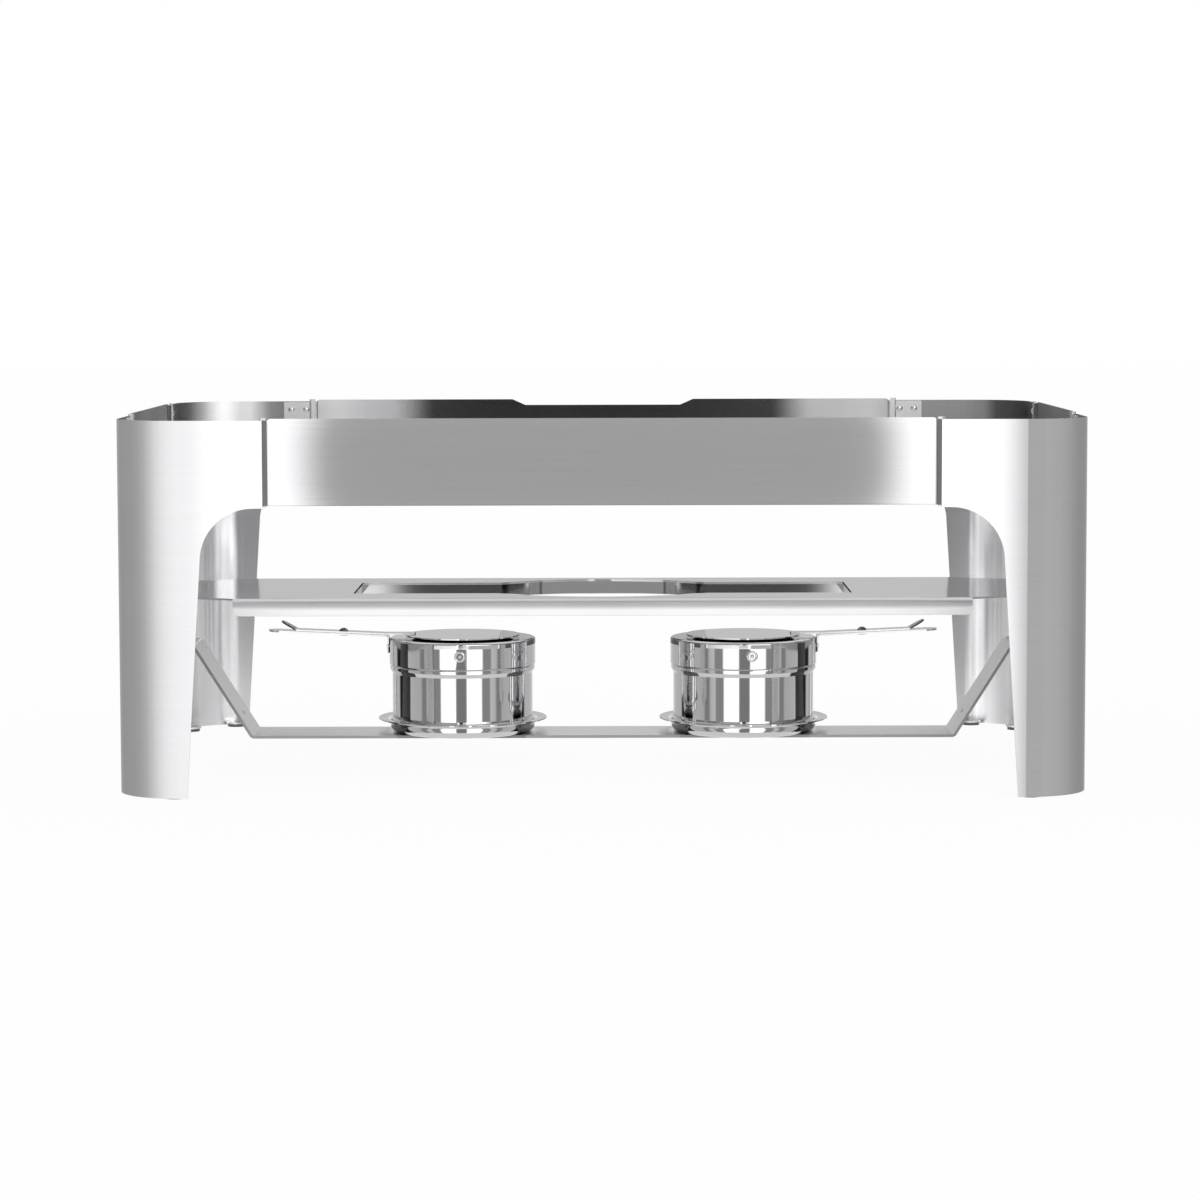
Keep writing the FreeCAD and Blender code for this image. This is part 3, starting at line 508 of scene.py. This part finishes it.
def shelf_finish(g, place, rough, spread, tint):
    """The skirts are satin with painted highlight and painted shade, and the flange round the opening is
    painted dark with painted highlights on its end faces.
    """
    x, y, z = g.split(place)
    below = g.math("LESS_THAN", z, SHELF_FLAT_Z)
    out = g.math("GREATER_THAN", g.math("ABSOLUTE", y), OPENING_HALF_DEPTH)
    skirt = g.math("MULTIPLY", below, out)
    flange = g.math("SUBTRACT", below, skirt)
    side, _, _ = g.split(g.add("ShaderNodeNewGeometry", out=1))
    end = g.mapped(g.math("ABSOLUTE", side), 0.25, 0.55)
    end = g.math("MULTIPLY", end, g.math("GREATER_THAN", g.math("ABSOLUTE", x), OPENING_END_X))
    flange_rough = g.mix(end, MIRROR_ROUGHNESS, 0.6)
    level = g.mix(skirt, g.mix(flange, rough, flange_rough), 0.45)
    # painted highlight and shade on the skirt's bend, painted shade on its lower edge and painted light
    # at its ends
    painted_bend_light = g.mapped(z, *SKIRT_BEND, 0.78, 1.63)
    edge = g.mapped(z, *SKIRT_EDGE, 0.7, 1.0)
    painted_lighter_ends = g.mapped(g.math("ABSOLUTE", x), *SKIRT_PAINTED_ENDS, 1.0, 1.2)
    painted_hem = g.math("MULTIPLY", g.math("MULTIPLY", painted_bend_light, edge), painted_lighter_ends)
    # painted shade on the flange, with painted highlights on its end faces
    shade = g.mix(skirt, g.mix(flange, 1.0, g.mix(end, 0.70, 1.45)), painted_hem)
    return level, g.mix(below, spread, 0.0), g.math("MULTIPLY", tint, shade)


def strap_finish(g, place, rough, spread, tint):
    """Painted shade: the sheared front and rear edges are painted dark, and the strap is painted darker
    in what the burners mirror of it.
    """
    _, side, _ = g.split(g.add("ShaderNodeNewGeometry", out=1))
    edge = g.math("GREATER_THAN", g.math("ABSOLUTE", side), SHEARED)
    mirrored = g.tree.nodes.new("ShaderNodeLightPath").outputs["Is Glossy Ray"]
    # painted shade on the sheared edges and in the burners' reflections of the strap
    level = g.math("MULTIPLY", g.mix(edge, 1.0, 0.4), g.mix(mirrored, 1.0, 0.25))
    return rough, spread, g.math("MULTIPLY", tint, level)


def lever_finish(g, place, rough, spread, tint):
    """The turned-up tips of the levers are painted dark, a painted reflection of dark surroundings on
    their edges.
    """
    x, _, _ = g.split(place)
    painted_dark_tip = g.mapped(g.math("ABSOLUTE", x), LEVER_TIP_FROM, LEVER_TIP_FROM + LEVER_TIP_FADE)
    return rough, spread, g.math("MULTIPLY", tint, g.mix(painted_dark_tip, 1.0, 0.06))


def rubber(name):
    material, g = new_material(name)
    place = g.add("ShaderNodeTexCoord", out=3)
    speckle = g.add("ShaderNodeTexNoise", {"Vector": place, "Scale": 1500.0, "Detail": 2.0})
    shade = g.mix(speckle, 0.08, 0.12)
    colour = g.add("ShaderNodeCombineColor", {0: shade, 1: shade, 2: shade})
    height = g.add("ShaderNodeBump", {"Strength": 0.3, "Distance": 0.0001, "Height": speckle})
    inputs = {"Base Color": colour, "Roughness": 0.35, "Normal": height}
    g.finish(g.add("ShaderNodeBsdfPrincipled", inputs))
    return material


def finishes():
    """The material of each CAD node, by the start of the node's name."""
    leg = steel("leg_steel", PANEL, 0.22, 0.9, AROUND, 900.0, 0.03, leg_finish)
    hem_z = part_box("apron_front")[0].z
    # the last number of each apron is the painted shade of its inner face
    long_side = apron_finish(CAD_BOX[1][1], hem_z, 0.75)
    rear_side = apron_finish(CAD_BOX[1][1], hem_z, 0.75, painted_dark_middle=True)
    short_side = apron_finish(CAD_BOX[1][0], hem_z, 0.28)
    front = steel("front_steel", PANEL, 0.22, 0.9, ACROSS, 900.0, 0.03, long_side)
    rear = steel("rear_steel", PANEL, 0.16, 0.9, ACROSS, 900.0, 0.03, rear_side)
    end = steel("end_steel", PANEL, 0.50, 0.3, DEEP, 900.0, 0.03, short_side)
    bracket = steel("bracket_steel", (0.82, 0.82, 0.82), 0.32, 0.3, UP, 1400.0, 0.15)
    shelf = steel("shelf_steel", (0.64, 0.64, 0.65), 0.12, 0.3, ACROSS, 700.0, 0.05, shelf_finish)
    strap = steel("strap_steel", (0.82, 0.82, 0.82), 0.34, 0.5, ACROSS, 1500.0, 0.2, strap_finish)
    rail = steel("rail_steel", (0.64, 0.64, 0.64), 0.34, 0.5, DEEP, 1500.0, 0.2)
    burner = steel("burner_steel", (0.66, 0.66, 0.67), 0.05, 0.2, ACROSS, 900.0, 0.03)
    handle = steel("handle_steel", (0.66, 0.66, 0.66), 0.16, 0.3, ACROSS, 1400.0, 0.1)
    lever = steel("lever_steel", (0.66, 0.66, 0.66), 0.16, 0.3, ACROSS, 1400.0, 0.1, lever_finish)
    pivot = steel("pivot_steel", (0.22, 0.22, 0.22), 0.12, 0.0, UP, 1200.0, 0.05)
    rivet = steel("rivet_steel", (0.66, 0.66, 0.66), 0.10, 0.0, UP, 1200.0, 0.05)
    pad = rubber("foot_rubber")
    return [
        ("foot_pads", pad),
        ("leg_", leg),
        ("apron_front", front),
        ("apron_rear", rear),
        ("apron_", end),
        ("bracket_rivets", rivet),
        ("bracket_", bracket),
        ("rail_rivets", rivet),
        ("strap_rivets", rivet),
        ("handle_rivets", rivet),
        ("collar_eyelets", rivet),
        ("lid_pivot_rivet", pivot),
        ("upper_rail", rail),
        ("lower_rail", rail),
        ("shelf", shelf),
        ("burner_strap", strap),
        ("saucer_", burner),
        ("burner_cup", burner),
        ("burner_collar", burner),
        ("lid_disc", burner),
        ("burner_handle", handle),
        ("lid_lever", lever),
    ]


def dress_frame():
    choices = finishes()
    for name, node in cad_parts.items():
        material = next(m for start, m in choices if name.startswith(start))
        for slot in node.material_slots:
            slot.material = material


build_studio()
dress_frame()
bpy.context.scene.view_settings.view_transform = "Standard"
